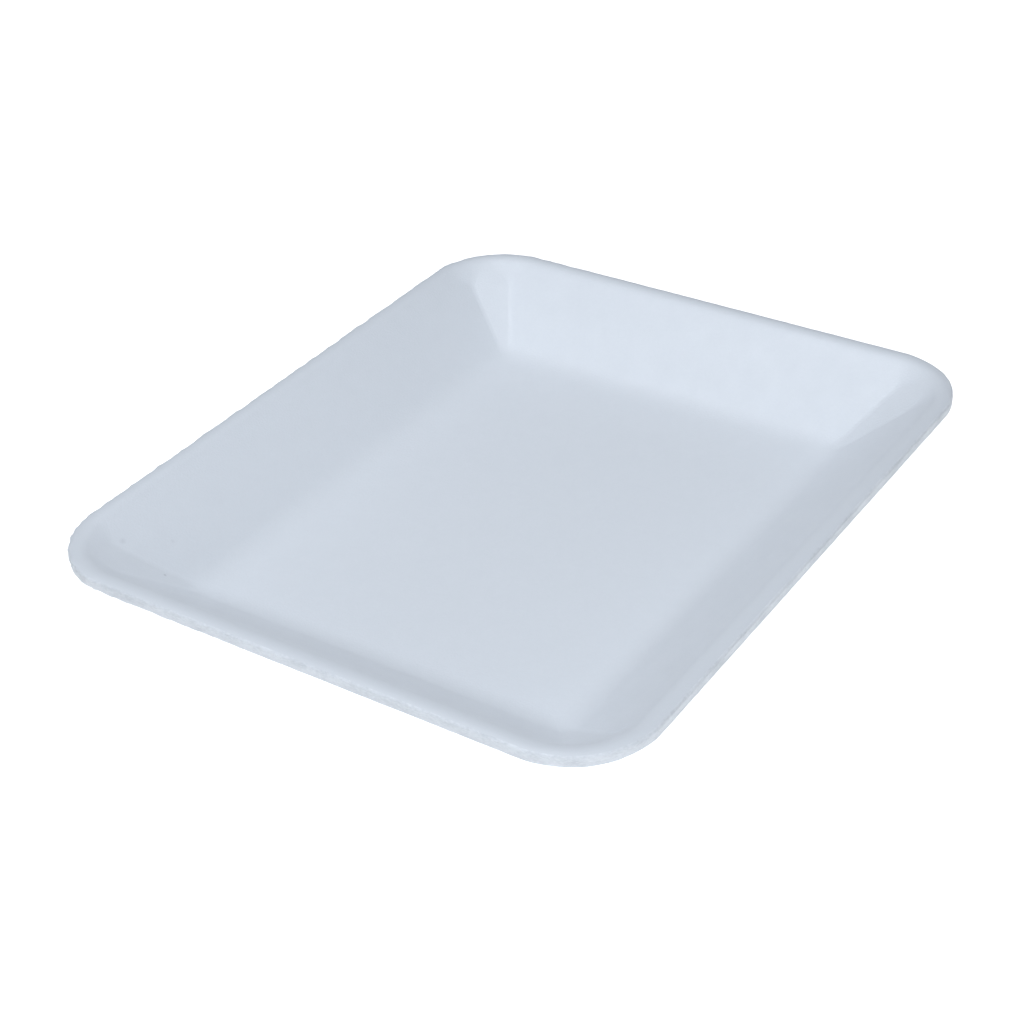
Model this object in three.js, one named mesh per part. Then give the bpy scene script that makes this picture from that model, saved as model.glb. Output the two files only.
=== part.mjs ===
import * as THREE from 'three';

// A shallow rectangular tray, formed in one piece from a sheet of white polystyrene foam.
// Millimetres, +Z up. The origin is the middle of the base, on the surface the tray stands on.
// X runs along the long sides. An inset is a distance inwards from the outline of the rim.

// Plan of the rim
const LENGTH = 260;
const WIDTH = 217.5;
const RIM_RADIUS = 30;

// The lip: a crowned band around the rim, which rolls over into the walls
const HEIGHT = 28.4;
const EDGE_HEIGHT = 4.3;
const EDGE_ROUND = 1;
const CROWN_INSET = 3;
const CROWN_ROUND = 6.5;
const CROWN_SLOPE = THREE.MathUtils.degToRad(19);

// Walls and floor
const FOAM_THICKNESS = 3.8;
const FLOOR_INSET = 37;
const FLOOR_ROUND = 18;
const LIP_UNDER_ROUND = 2.5;
const LIP_UNDER_EDGE_ROUND = 0.6;

// Where two walls meet there is a narrow flat facet, as wide as the round of the rim at the
// top and almost a point at the floor. A leg is how much of each wall the facet takes off.
const FACET_START = 7;
const FLOOR_LEG = 2;
const CREASE_ROUND = 3;
const CREASE_START = 0.25;

// Fineness of the round stretches
const SECTION_STEP = THREE.MathUtils.degToRad(9);
const CREASE_STEPS = 5;
const WALL_STEPS = 5;

// A quarter circle of radius r is as deep as a facet with legs of r times this.
const LEG_PER_RADIUS = 2 - Math.SQRT2;
// A facet that is rounded all over keeps a trace of its flat, so that no two points coincide.
const FULLEST_ROUND = 0.92 / LEG_PER_RADIUS;

// The corners of the section through a side, once around: up the cut edge, over the lip, down
// to the floor, and back along the underside. The underside runs parallel to the wall.
function sectionCorners() {
  const crownCentre = new THREE.Vector2(CROWN_INSET, HEIGHT - CROWN_ROUND);
  const edgeTop = crownCentre.y + CROWN_ROUND / Math.cos(CROWN_SLOPE) - CROWN_INSET * Math.tan(CROWN_SLOPE);
  const lipUnder = HEIGHT - EDGE_HEIGHT;
  const floorEnd = FLOOR_INSET + FLOOR_ROUND;

  // The wall runs from the corner of the floor to where it touches the round of the crown.
  const toCrown = crownCentre.clone().sub(new THREE.Vector2(FLOOR_INSET, FOAM_THICKNESS));
  const wallSlope = Math.asin(CROWN_ROUND / toCrown.length()) + Math.atan2(toCrown.y, -toCrown.x);
  const crownMiddle = (wallSlope - CROWN_SLOPE) / 2;
  const crownReach = CROWN_ROUND / Math.cos((wallSlope + CROWN_SLOPE) / 2);
  const crownInset = crownCentre.x + crownReach * Math.sin(crownMiddle);
  const crownHeight = crownCentre.y + crownReach * Math.cos(crownMiddle);
  const baseInset = FLOOR_INSET - FOAM_THICKNESS * Math.tan(wallSlope / 2);
  const lipUnderInset = baseInset - lipUnder / Math.tan(wallSlope);

  const corner = (inset, height, round, under = false) => ({
    at: new THREE.Vector2(inset, height),
    round,
    under,
  });
  return [
    corner(0, lipUnder, LIP_UNDER_EDGE_ROUND),
    corner(0, edgeTop, EDGE_ROUND),
    corner(crownInset, crownHeight, CROWN_ROUND),
    corner(FLOOR_INSET, FOAM_THICKNESS, FLOOR_ROUND),
    corner(floorEnd, FOAM_THICKNESS, 0),
    corner(floorEnd, 0, 0, true),
    corner(baseInset, 0, FLOOR_ROUND + FOAM_THICKNESS, true),
    corner(lipUnderInset, lipUnder, LIP_UNDER_ROUND, true),
  ];
}

// The arc that rounds one corner of the section, as points with the slope they lie at.
function arcAt(before, corner, after) {
  const into = corner.at.clone().sub(before.at).normalize();
  const out = after.at.clone().sub(corner.at).normalize();
  const turn = Math.atan2(into.cross(out), into.dot(out));
  const start = corner.at.clone().addScaledVector(into, -corner.round * Math.tan(Math.abs(turn) / 2));
  const sideways = new THREE.Vector2(-into.y, into.x).multiplyScalar(Math.sign(turn));
  const centre = start.clone().addScaledVector(sideways, corner.round);
  const steps = Math.max(1, Math.ceil(Math.abs(turn) / SECTION_STEP));
  return Array.from({ length: steps + 1 }, (_, i) => {
    const angle = (turn * i) / steps;
    const point = start.clone().rotateAround(centre, angle);
    return {
      inset: point.x,
      height: point.y,
      spread: corner.under ? FOAM_THICKNESS * Math.abs(Math.sin(into.angle() + angle)) : 0,
    };
  });
}

// Extra points along a straight wall, where the facets at its ends change their width.
function wallBetween(from, to) {
  return Array.from({ length: WALL_STEPS - 1 }, (_, i) => {
    const share = (i + 1) / WALL_STEPS;
    return {
      inset: THREE.MathUtils.lerp(from.inset, to.inset, share),
      height: THREE.MathUtils.lerp(from.height, to.height, share),
      spread: THREE.MathUtils.lerp(from.spread, to.spread, share),
    };
  });
}

// The whole section, from the edge of the floor over the rim to the edge of the base.
function section() {
  const corners = sectionCorners();
  const points = [];
  corners.forEach((corner, i) => {
    const before = corners.at(i - 1);
    const after = corners[(i + 1) % corners.length];
    const arc = corner.round > 0 ? arcAt(before, corner, after) : [];
    const last = points.at(-1);
    const isWall = last && arc.length > 0 && Math.abs(arc[0].height - last.height) > HEIGHT / 3;
    points.push(...(isWall ? wallBetween(last, arc[0]) : []), ...arc);
  });
  const baseStart = points.findIndex((point) => point.height === 0);
  return [...points.slice(baseStart), ...points.slice(0, baseStart)];
}

// Size of the facet where two walls meet. Up on the lip the corner is simply round. The
// underside keeps the thickness of the foam, which spreads it outwards where it slopes.
function facetAt({ inset, spread }) {
  const upperInset = inset + spread;
  const share = THREE.MathUtils.clamp((upperInset - FACET_START) / (FLOOR_INSET - FACET_START), 0, 1);
  const roundLeg = LEG_PER_RADIUS * (RIM_RADIUS - Math.min(upperInset, FACET_START));
  const leg = THREE.MathUtils.lerp(roundLeg, FLOOR_LEG, share) + LEG_PER_RADIUS * spread;
  const creased = THREE.MathUtils.smoothstep(share, 0, CREASE_START);
  const fullest = leg * FULLEST_ROUND;
  const crease = Math.min(CREASE_ROUND + spread, fullest);
  return { leg, round: THREE.MathUtils.lerp(fullest, crease, creased) };
}

// One ring around the tray: a rectangle whose corners are facets with rounded ends.
function ring(point) {
  const halfLength = LENGTH / 2 - point.inset;
  const halfWidth = WIDTH / 2 - point.inset;
  const { leg, round } = facetAt(point);
  const reach = leg + round * Math.tan(Math.PI / 8);
  const quarter = [];
  for (let i = 0; i <= CREASE_STEPS; i += 1) {
    const angle = ((Math.PI / 4) * i) / CREASE_STEPS;
    quarter.push([round * (1 - Math.cos(angle)), reach - round * Math.sin(angle)]);
  }
  const mirrored = quarter.map(([across, along]) => [along, across]).reverse();
  const corner = [...quarter, ...mirrored];
  const quadrants = [[1, 1], [-1, 1], [-1, -1], [1, -1]];
  return quadrants.flatMap(([signX, signY]) => {
    const points = corner.map(([x, y]) => (
      new THREE.Vector3(signX * (halfLength - x), signY * (halfWidth - y), point.height)
    ));
    return signX * signY > 0 ? points : points.reverse();
  });
}

// The closed shell: rings joined along the section, and the floor and the base filled in.
function trayGeometry() {
  const rings = section().map(ring);
  const around = rings[0].length;
  const vertices = rings.flat();
  const index = [];
  for (let level = 0; level < rings.length - 1; level += 1) {
    for (let i = 0; i < around; i += 1) {
      const next = (i + 1) % around;
      const a = level * around + i;
      const b = level * around + next;
      index.push(a, b, b + around, a, b + around, a + around);
    }
  }
  const lastRing = (rings.length - 1) * around;
  const baseMiddle = vertices.push(new THREE.Vector3(0, 0, 0)) - 1;
  const floorMiddle = vertices.push(new THREE.Vector3(0, 0, FOAM_THICKNESS)) - 1;
  for (let i = 0; i < around; i += 1) {
    const next = (i + 1) % around;
    index.push(next, i, baseMiddle);
    index.push(lastRing + i, lastRing + next, floorMiddle);
  }
  const geometry = new THREE.BufferGeometry().setFromPoints(vertices);
  geometry.setIndex(index);
  geometry.computeVertexNormals();
  return geometry;
}

// White foam, slightly cool, with the soft sheen of its moulded skin.
function foam() {
  return new THREE.MeshStandardMaterial({ color: 0xe9edf2, roughness: 0.55, metalness: 0 });
}

function tray() {
  const mesh = new THREE.Mesh(trayGeometry(), foam());
  mesh.name = 'tray';
  return mesh;
}

const model = new THREE.Group();
model.add(tray());

export default model;
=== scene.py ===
import math

import bpy
from mathutils import Matrix, Vector


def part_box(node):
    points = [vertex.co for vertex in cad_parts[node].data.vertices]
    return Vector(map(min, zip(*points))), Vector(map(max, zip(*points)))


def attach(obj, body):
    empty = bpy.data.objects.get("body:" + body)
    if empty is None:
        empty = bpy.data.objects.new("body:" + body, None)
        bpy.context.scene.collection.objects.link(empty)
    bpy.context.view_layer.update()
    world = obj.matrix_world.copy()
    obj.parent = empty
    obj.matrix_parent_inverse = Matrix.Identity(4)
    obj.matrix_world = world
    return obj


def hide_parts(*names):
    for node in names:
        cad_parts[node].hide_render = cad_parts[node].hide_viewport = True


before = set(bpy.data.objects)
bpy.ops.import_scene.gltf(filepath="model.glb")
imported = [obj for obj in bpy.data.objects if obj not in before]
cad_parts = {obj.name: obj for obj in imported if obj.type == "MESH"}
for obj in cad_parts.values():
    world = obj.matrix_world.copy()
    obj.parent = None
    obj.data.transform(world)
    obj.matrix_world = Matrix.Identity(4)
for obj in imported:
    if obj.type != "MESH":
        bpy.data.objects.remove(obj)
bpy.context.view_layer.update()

# Camera. A long lens looks down over one corner of the tray, a little rolled, from about
# seven tenths of a metre. It aims past the middle of the rim, which sits low in the picture.
millimetre = 0.001
tray_low, tray_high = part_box("tray")
bearing = math.radians(55.58)
downward = math.radians(33.53)
roll = math.radians(-2.46)
distance = 704.5 * millimetre
aim_right = 6.0 * millimetre
aim_up = 18.1 * millimetre
aim_below_rim = 0.5 * millimetre
rim_middle = Vector((0, 0, tray_high.z - aim_below_rim))
lens_millimetres = 72.79
sensor_millimetres = 36

ahead = Vector((
    math.sin(bearing) * math.cos(downward),
    math.cos(bearing) * math.cos(downward),
    -math.sin(downward),
))
level_right = Vector((math.cos(bearing), -math.sin(bearing), 0))
level_up = level_right.cross(ahead)
right = math.cos(roll) * level_right + math.sin(roll) * level_up
up = math.cos(roll) * level_up - math.sin(roll) * level_right
camera_data = bpy.data.cameras.new("camera")
camera_data.lens = lens_millimetres
camera_data.sensor_width = sensor_millimetres
camera = bpy.data.objects.new("camera", camera_data)
camera.matrix_world = (
    Matrix.Translation(rim_middle - ahead * distance - right * aim_right - up * aim_up)
    @ Matrix((right, up, -ahead)).transposed().to_4x4()
)
bpy.context.collection.objects.link(camera)
bpy.context.scene.camera = camera


# Tray. One sheet of white polystyrene foam, softened and pressed between two moulds, then
# trimmed along the outside of the lip. It is built from outlines, one at each point of its
# section from the base over the lip to the floor, which are bridged and then filled in.
length = tray_high.x - tray_low.x
width = tray_high.y - tray_low.y
height = tray_high.z
rim_radius = 30 * millimetre
foam_thickness = 3.8 * millimetre
edge_height = 4.3 * millimetre
edge_round = 1.0 * millimetre
crown_inset = 3.0 * millimetre
crown_round = 6.5 * millimetre
crown_slope = math.radians(19)
lip_under_rise = 0.3 * millimetre
lip_under_round = 2.5 * millimetre
lip_under_edge_round = 0.6 * millimetre
floor_inset = 37 * millimetre
floor_round = 18 * millimetre
floor_middle = 50 * millimetre
facet_start = 7.0 * millimetre
floor_leg = 2.0 * millimetre
crease_round = 3.0 * millimetre
crease_start = 0.25
crease_segments = 16
wall_strips = 12
edge_strips = 4

# A quarter circle is as deep as a facet whose legs are its radius times the first value. A facet
# that is rounded all over keeps a trace of its flat, so that no two points coincide.
leg_per_radius = 2 - math.sqrt(2)
rounded_share = 0.92
fullest_round = rounded_share / leg_per_radius

# The lip rolls over a round crown, and the wall runs from that round to the corner of the floor.
crown_centre = Vector((crown_inset, height - crown_round))
edge_top = crown_centre.y + crown_round / math.cos(crown_slope) - crown_inset * math.tan(crown_slope)
lip_under = height - edge_height
to_floor = Vector((floor_inset, foam_thickness)) - crown_centre
wall_slope = math.asin(crown_round / to_floor.length) + math.atan2(-to_floor.y, to_floor.x)
crown_reach = crown_round / math.cos((wall_slope + crown_slope) / 2)
crown_lean = (wall_slope - crown_slope) / 2
crown_top = crown_centre + crown_reach * Vector((math.sin(crown_lean), math.cos(crown_lean)))
base_inset = floor_inset - foam_thickness * math.tan(wall_slope / 2)
lip_under_inset = base_inset - (lip_under + lip_under_rise) / math.tan(wall_slope)

# The corners of the section: inset, height, round, the strips that the round is made of,
# and whether the corner belongs to the underside.
section_corners = [
    (floor_middle, 0, 0, 0, True),
    (base_inset, 0, floor_round + foam_thickness, 12, True),
    (lip_under_inset, lip_under + lip_under_rise, lip_under_round, 4, True),
    (0, lip_under, lip_under_edge_round, 4, False),
    (0, edge_top, edge_round, 8, False),
    (crown_top.x, crown_top.y, crown_round, 15, False),
    (floor_inset, foam_thickness, floor_round, 14, False),
    (floor_middle, foam_thickness, 0, 0, False),
]


def round_off(before, corner, after):
    """Points on the round of one corner: inset, height, and how far the foam spreads there."""
    inset, level, radius, strips, under = corner
    here = Vector((inset, level))
    into = (here - Vector(before[:2])).normalized()
    out = (Vector(after[:2]) - here).normalized()
    turn = -into.angle_signed(out)
    start = here - into * radius * math.tan(abs(turn) / 2)
    centre = start + into.orthogonal() * math.copysign(radius, turn)
    points = []
    for strip in range(strips + 1):
        turned = Matrix.Rotation(turn * strip / strips, 2)
        point = centre + turned @ (start - centre)
        slope = turned @ into
        points.append((point.x, point.y, foam_thickness * abs(slope.y) if under else 0.0))
    return points


def straight(start, end, strips):
    """Points between two others, at even distances."""
    shares = [strip / strips for strip in range(1, strips)]
    return [tuple(a + (b - a) * share for a, b in zip(start, end)) for share in shares]


# The rounds are joined by straight stretches. The walls and the cut edge are split into strips.
wall_least_height = height / 3
section = []
for before, corner, after in zip(section_corners, section_corners[1:], section_corners[2:]):
    points = round_off(before, corner, after)
    if section and abs(points[0][1] - section[-1][1]) > wall_least_height:
        section += straight(section[-1], points[0], wall_strips)
    elif section and corner[0] == before[0]:
        section += straight(section[-1], points[0], edge_strips)
    section += points


def facet(inset, spread):
    """How much of each side the facet at a corner takes off, and the round at its ends."""
    share = min(1, max(0, (inset + spread - facet_start) / (floor_inset - facet_start)))
    round_leg = leg_per_radius * (rim_radius - min(inset + spread, facet_start))
    leg = round_leg + (floor_leg - round_leg) * share + leg_per_radius * spread
    creased = min(1, share / crease_start)
    creased = creased * creased * (3 - 2 * creased)
    fullest = leg * fullest_round
    crease = min(crease_round + spread, fullest)
    return leg, fullest + (crease - fullest) * creased


def deselect():
    """Leaves no object selected."""
    for thing in bpy.context.selected_objects:
        thing.select_set(False)


side_grid = 1.25 * millimetre
side_least_length = width / 3
side_cuts = [round((side - 2 * rim_radius) / side_grid) for side in (length, width)]


def outline(inset, z, spread):
    """A bare outline of the tray at one height: a rectangle with its corners cut and rounded."""
    leg, crease = facet(inset, spread)
    deselect()
    bpy.ops.mesh.primitive_plane_add(size=1, location=(0, 0, z))
    ring = bpy.context.active_object
    bpy.ops.object.mode_set(mode="EDIT")
    bpy.ops.mesh.select_all(action="SELECT")
    bpy.ops.transform.resize(value=(length - 2 * inset, width - 2 * inset, 1))
    for reach, segments in ((leg, 1), (crease * math.tan(math.pi / 8), crease_segments)):
        bpy.ops.mesh.select_all(action="SELECT")
        bpy.ops.mesh.bevel(affect="VERTICES", offset_type="OFFSET", offset=reach, segments=segments)
    bpy.ops.mesh.select_all(action="SELECT")
    bpy.ops.mesh.delete(type="ONLY_FACE")
    for axis, cuts in enumerate(side_cuts):
        bpy.ops.mesh.select_mode(type="EDGE")
        bpy.ops.mesh.select_all(action="DESELECT")
        bpy.ops.object.mode_set(mode="OBJECT")
        for edge in ring.data.edges:
            one, other = [ring.data.vertices[index].co for index in edge.vertices]
            edge.select = abs(one[axis] - other[axis]) > side_least_length
        bpy.ops.object.mode_set(mode="EDIT")
        bpy.ops.mesh.subdivide(number_cuts=cuts)
    bpy.ops.object.mode_set(mode="OBJECT")
    return ring


rings = [outline(*point) for point in section]
around = len(rings[0].data.vertices)
deselect()
for ring in rings:
    ring.select_set(True)
tray = rings[0]
bpy.context.view_layer.objects.active = tray
bpy.ops.object.join()
tray.name = "foam_tray"
tray.data.name = "foam_tray"


def select_rings(*numbers):
    """Selects whole outlines of the tray by their number along the section."""
    bpy.ops.object.mode_set(mode="EDIT")
    bpy.ops.mesh.select_mode(type="VERT")
    bpy.ops.mesh.select_all(action="DESELECT")
    bpy.ops.object.mode_set(mode="OBJECT")
    for number in numbers:
        for vertex in tray.data.vertices[number * around:(number + 1) * around]:
            vertex.select = True
    bpy.ops.object.mode_set(mode="EDIT")
    bpy.ops.mesh.select_mode(type="EDGE")


border = 1.5 * millimetre
for number in range(len(section) - 1):
    select_rings(number, number + 1)
    bpy.ops.mesh.bridge_edge_loops()
for number in (0, len(section) - 1):
    select_rings(number)
    bpy.ops.mesh.edge_face_add()
    bpy.ops.mesh.inset(thickness=border)
bpy.ops.mesh.select_all(action="SELECT")
bpy.ops.mesh.normals_make_consistent(inside=False)
bpy.ops.object.mode_set(mode="OBJECT")
bpy.ops.object.shade_smooth()

# The trimming leaves the cut edge uneven, most along the far long side. The cut only takes foam
# away, so that the tray keeps within its size.
trim_reach = 1.6 * millimetre
trim_depth = 0.7 * millimetre
trim_wave = 3.0 * millimetre
trim_contrast = 2.4
trim_everywhere = 0.15
trimmed = tray.vertex_groups.new(name="trimmed_edge")
for number, point in enumerate(section):
    closeness = max(0, 1 - point[0] / trim_reach)
    if closeness > 0:
        for index in range(number * around, (number + 1) * around):
            side = max(0, tray.data.vertices[index].co.y / tray_high.y) ** 2
            strength = closeness * (trim_everywhere + (1 - trim_everywhere) * side)
            trimmed.add([index], strength, "REPLACE")
wave = bpy.data.textures.new("trimming", "CLOUDS")
wave.noise_scale = trim_wave
wave.noise_depth = 1
wave.contrast = trim_contrast
wave.use_clamp = True
uneven = tray.modifiers.new("trimming", "DISPLACE")
uneven.texture = wave
uneven.texture_coords = "LOCAL"
uneven.vertex_group = trimmed.name
uneven.mid_level = 1.0
uneven.strength = trim_depth
bpy.ops.object.modifier_apply(modifier=uneven.name)

# How far each point lies in from the rim's outline tells the finish where the lip is. There the foam's
# colour is made greyer towards its cut side. That grey is painted shade for the lip's darker look, not a
# tone of the foam.
inset_name = "inset"
inward = tray.data.attributes.new(inset_name, "FLOAT", "POINT")
insets = [point[0] for point in section for vertex in range(around)]
insets += [floor_middle] * (len(tray.data.vertices) - len(insets))
inward.data.foreach_set("value", insets)

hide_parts("tray")
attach(tray, "root")


def add_node(tree, kind, inputs=(), **settings):
    """Adds a node with its settings, and gives its inputs, by name or number, values or links."""
    node = tree.nodes.new(kind)
    for name, value in settings.items():
        setattr(node, name, value)
    for name, value in dict(inputs).items():
        if isinstance(value, bpy.types.NodeSocket):
            tree.links.new(value, node.inputs[name])
        else:
            node.inputs[name].default_value = value
    return node


def add_math(tree, operation, *values, **settings):
    """Adds a math node on numbers or links, and returns its result."""
    return add_node(tree, "ShaderNodeMath", enumerate(values), operation=operation, **settings).outputs[0]


def new_group(name, inputs, outputs):
    """A node group with named inputs, given with their kind and first value, and named outputs."""
    tree = bpy.data.node_groups.new(name, "ShaderNodeTree")
    for label, (kind, value) in inputs.items():
        socket = tree.interface.new_socket(name=label, in_out="INPUT", socket_type=kind)
        if value is not None:
            socket.default_value = value
    for label in outputs:
        tree.interface.new_socket(name=label, in_out="OUTPUT", socket_type="NodeSocketFloat")
    return tree, tree.nodes.new("NodeGroupInput").outputs, tree.nodes.new("NodeGroupOutput").inputs


# Foam cells: little domes pressed almost flat, with a shade that changes from cell to cell, and
# a soft mottling over many cells. The two finenesses are measured against the cells' own.
usual_cell = 0.7 * millimetre
ripple_fineness = 0.7
blotch_fineness = 0.09
cells, given, result = new_group(
    "foam_cells",
    {"Vector": ("NodeSocketVector", None), "Cell Size": ("NodeSocketFloat", usual_cell)},
    ("Height", "Shade"),
)
cell_scale = add_math(cells, "DIVIDE", 1.0, given["Cell Size"])
dome = add_node(
    cells, "ShaderNodeTexVoronoi", {"Vector": given["Vector"], "Scale": cell_scale}, feature="F1"
)
ripple_scale = add_math(cells, "MULTIPLY", cell_scale, ripple_fineness)
ripple = add_node(
    cells, "ShaderNodeTexNoise", {"Vector": given["Vector"], "Scale": ripple_scale, "Detail": 2.0}
)
blotch_scale = add_math(cells, "MULTIPLY", cell_scale, blotch_fineness)
blotch = add_node(
    cells, "ShaderNodeTexNoise", {"Vector": given["Vector"], "Scale": blotch_scale, "Detail": 4.0}
)
domes = add_math(cells, "SUBTRACT", 1.0, dome.outputs["Distance"])
cells.links.new(add_math(cells, "ADD", domes, ripple.outputs["Fac"]), result["Height"])
shade = add_math(cells, "ADD", ripple.outputs["Fac"], blotch.outputs["Fac"])
cells.links.new(add_math(cells, "MULTIPLY", shade, 0.5), result["Shade"])

# Pinhole: a bubble that burst in the skin. It leaves a small round pit, and the group shows where one
# such pit lies on the tray. The skin darkens each pit with painted shade.
usual_pinhole = 0.5 * millimetre
pinhole, given, result = new_group(
    "pinhole",
    {
        "Vector": ("NodeSocketVector", None),
        "Centre": ("NodeSocketVector", None),
        "Radius": ("NodeSocketFloat", usual_pinhole),
    },
    ("Mask",),
)
reach = add_node(
    pinhole, "ShaderNodeVectorMath", {0: given["Vector"], 1: given["Centre"]}, operation="DISTANCE"
)
share = add_math(pinhole, "DIVIDE", reach.outputs["Value"], given["Radius"])
pinhole.links.new(add_math(pinhole, "SUBTRACT", 1.0, share, use_clamp=True), result["Mask"])

# White foam has two finishes. The moulded skin is smooth, with a fine grain and a soft sheen.
# The cut side is rougher, streaked along the rim, and glints. Depths and the grain's relief are
# in millimetres. Each pinhole has its centre, its radius and how strongly it shows.
pinholes = [
    (Vector((-101.3, 94.7, 21.6)) * millimetre, 1.4 * millimetre, 0.35),
    (Vector((-99.0, 80.1, 11.6)) * millimetre, 0.7 * millimetre, 1.0),
    (Vector((-86.5, 86.8, 15.5)) * millimetre, 1.0 * millimetre, 0.2),
]
pinhole_depth = 0.12
# The pits' darker colour is painted shade. Their relief is a bump.
pinhole_painted_shade_colour = (0.6, 0.63, 0.67, 1)
cut_inset = 1.0 * millimetre
lip_reach = 9.0 * millimetre
# The lip's greyer colour is painted shade, which fades out over lip_reach.
painted_lip_shade_colour = (0.765, 0.805, 0.845, 1)
unevenness_scale = 75
unevenness = 0.05
darkest_shade = 0.35
brightest_shade = 0.65
finishes = {
    "foam_skin": {
        "cell": 0.75 * millimetre, "grain": 0.035, "flattening": 1.0,
        "dark": (0.835, 0.875, 0.916, 1), "bright": (0.85, 0.89, 0.93, 1), "roughness": (0.55, 0.45),
    },
    "cut_foam": {
        "cell": 0.8 * millimetre, "grain": 0.1, "flattening": 3.0,
        "dark": (0.71, 0.75, 0.79, 1), "bright": (0.87, 0.91, 0.95, 1), "roughness": (0.6, 0.25),
    },
}
for name, finish in finishes.items():
    foam = bpy.data.materials.new(name)
    foam.use_nodes = True
    tree = foam.node_tree
    shader = tree.nodes["Principled BSDF"]
    place = add_node(tree, "ShaderNodeTexCoord").outputs["Object"]
    flattened = add_node(
        tree, "ShaderNodeMapping", {"Vector": place, "Scale": (1, 1, finish["flattening"])}
    )
    grain = add_node(
        tree, "ShaderNodeGroup", {"Vector": flattened.outputs["Vector"], "Cell Size": finish["cell"]},
        node_tree=cells,
    )
    shade = add_node(
        tree, "ShaderNodeMapRange",
        {"Value": grain.outputs["Shade"], "From Min": darkest_shade, "From Max": brightest_shade},
    ).outputs["Result"]
    colour = add_node(
        tree, "ShaderNodeMix", {0: shade, 6: finish["dark"], 7: finish["bright"]}, data_type="RGBA"
    ).outputs[2]
    rough, smooth = finish["roughness"]
    roughness = add_math(tree, "MULTIPLY_ADD", shade, smooth - rough, rough)
    slow = add_node(
        tree, "ShaderNodeTexNoise", {"Vector": place, "Scale": unevenness_scale, "Detail": 1.0}
    ).outputs["Fac"]
    relief = add_math(tree, "MULTIPLY", slow, unevenness)
    relief = add_math(tree, "MULTIPLY_ADD", grain.outputs["Height"], finish["grain"], relief)
    if name == "foam_skin":
        inset = add_node(tree, "ShaderNodeAttribute", attribute_name=inset_name).outputs["Fac"]
        lip_shade_fade = add_node(
            tree, "ShaderNodeMapRange", {"Value": inset, "From Min": cut_inset, "From Max": lip_reach},
            interpolation_type="SMOOTHSTEP",
        ).outputs["Result"]
        # Painted shade: the skin's colour is darkened towards the lip's cut side.
        colour = add_node(
            tree, "ShaderNodeMix", {0: lip_shade_fade, 6: painted_lip_shade_colour, 7: colour}, data_type="RGBA"
        ).outputs[2]
        for centre, radius, strength in pinholes:
            mask = add_node(
                tree, "ShaderNodeGroup", {"Vector": place, "Centre": centre, "Radius": radius},
                node_tree=pinhole,
            ).outputs["Mask"]
            hole = add_math(tree, "MULTIPLY", mask, strength)
            relief = add_math(tree, "MULTIPLY_ADD", hole, -pinhole_depth, relief)
            # Painted shade in the pit: its colour is darkened as strongly as the pit shows.
            colour = add_node(
                tree, "ShaderNodeMix", {0: hole, 6: colour, 7: pinhole_painted_shade_colour}, data_type="RGBA"
            ).outputs[2]
    bump = add_node(tree, "ShaderNodeBump", {"Height": relief, "Distance": millimetre, "Strength": 1.0})
    tree.links.new(colour, shader.inputs["Base Color"])
    tree.links.new(roughness, shader.inputs["Roughness"])
    tree.links.new(bump.outputs["Normal"], shader.inputs["Normal"])
    tray.data.materials.append(foam)

# The cut side reaches from the lower edge of the lip over the round of its upper edge.
cut_rings = {
    number for number, point in enumerate(section) if point[0] <= cut_inset and point[1] >= lip_under
}
for face in tray.data.polygons:
    face.material_index = int(all(vertex // around in cut_rings for vertex in face.vertices))

# Floor and light. A wide sheet of white paper lies under the tray, with soft light from all
# round. The paper glows a little, so that it stays pale far from the lights. Only the camera
# sees part of that glow, which lights nothing.
floor_size = 60
floor_drop = 0.2 * millimetre
floor_glow = 0.42
seen_glow = 0.4
paper_white = (0.9, 0.9, 0.9, 1)
paper_roughness = 0.9
paper_shine = 0.1
deselect()
bpy.ops.mesh.primitive_plane_add(size=floor_size, location=(0, 0, -floor_drop))
floor = bpy.context.active_object
floor.name = "pale_floor"
paper = bpy.data.materials.new("white_paper")
paper.use_nodes = True
paper_shader = paper.node_tree.nodes["Principled BSDF"]
paper_shader.inputs["Base Color"].default_value = paper_white
paper_shader.inputs["Roughness"].default_value = paper_roughness
paper_shader.inputs["Specular IOR Level"].default_value = paper_shine
paper_shader.inputs["Emission Color"].default_value = (1, 1, 1, 1)
seen = add_node(paper.node_tree, "ShaderNodeLightPath").outputs["Is Camera Ray"]
glow = add_math(paper.node_tree, "MULTIPLY_ADD", seen, seen_glow, floor_glow)
paper.node_tree.links.new(glow, paper_shader.inputs["Emission Strength"])
floor.data.materials.append(paper)

room_light = 0.01
world = bpy.data.worlds.new("studio")
bpy.context.scene.world = world
world.use_nodes = True
background = world.node_tree.nodes["Background"]
background.inputs["Color"].default_value = (1, 1, 1, 1)
background.inputs["Strength"].default_value = room_light
bpy.context.scene.view_settings.view_transform = "Standard"

# Round softboxes, each with its bearing from +X towards +Y and its height above the tray, both
# in degrees, and its power in watts.
light_distance = 1.3
softbox_size = 0.6
light_colour = (0.898, 0.936, 1.0)
softboxes = {
    "overhead": (0, 90, 3.4),
    "key": (120, 70, 6.9),
    "fill": (240, 50, 4.6),
    "far_left": (90, 30, 0.8),
    "far_right": (0, 10, 0.6),
    "near_left": (210, 10, 2.9),
}
for name, (turn_degrees, lift_degrees, power) in softboxes.items():
    turn = math.radians(turn_degrees)
    lift = math.radians(lift_degrees)
    towards = Vector((math.cos(turn) * math.cos(lift), math.sin(turn) * math.cos(lift), math.sin(lift)))
    light = bpy.data.lights.new(name, "AREA")
    light.shape = "DISK"
    light.size = softbox_size
    light.energy = power
    light.color = light_colour
    lamp = bpy.data.objects.new(name, light)
    lamp.location = rim_middle + towards * light_distance
    lamp.rotation_euler = towards.to_track_quat("Z", "Y").to_euler()
    bpy.context.collection.objects.link(lamp)
